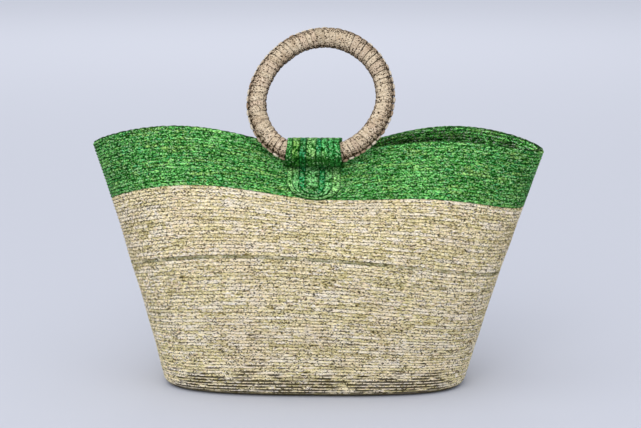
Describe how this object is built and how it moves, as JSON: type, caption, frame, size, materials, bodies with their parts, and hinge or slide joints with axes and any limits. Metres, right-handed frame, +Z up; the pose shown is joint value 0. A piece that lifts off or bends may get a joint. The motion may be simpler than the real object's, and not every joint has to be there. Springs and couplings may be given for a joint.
{
  "type": "palm leaf tote",
  "caption": "Soft oval tote of spiral-sewn palm braid, natural below and dyed green at the rim, with a pair of palm-wound hoop handles held in sewn tabs",
  "frame": {"origin": "centre of the flat underside of the oval floor", "axes": "+X along the long mouth, -Y toward the front wall with the raised hoop, +Z up"},
  "size_m": [0.4474, 0.2225, 0.3575],
  "materials": {
    "natural_palm": "matte dried palm braid",
    "green_palm": "matte dyed palm braid",
    "tab_palm": "matte dyed palm braid",
    "palm_strip": "satin dried palm strip",
    "palm_cord": "matte palm cord",
    "vine": "peeled vine"
  },
  "bodies": {
    "bag": {"base_oval": "natural_palm", "natural_wall": "natural_palm", "green_band": "green_palm", "front_tab": "tab_palm", "back_tab": "tab_palm"},
    "front_hoop": {"front_hoop_core": "vine", "front_hoop_wrap": "palm_strip", "front_hoop_seam": "palm_cord"},
    "back_hoop": {"back_hoop_core": "vine", "back_hoop_wrap": "palm_strip", "back_hoop_seam": "palm_cord"}
  },
  "joints": [
    {"name": "front_hoop_swing", "type": "hinge", "parent": "bag", "child": "front_hoop", "pos_m": [0, -0.04503, 0.23876], "axis": [1, 0, 0], "range_deg": [0, 160]},
    {"name": "back_hoop_swing", "type": "hinge", "parent": "bag", "child": "back_hoop", "pos_m": [0, 0.05116, 0.22655], "axis": [1, 0, 0], "range_deg": [0, 156]}
  ]
}
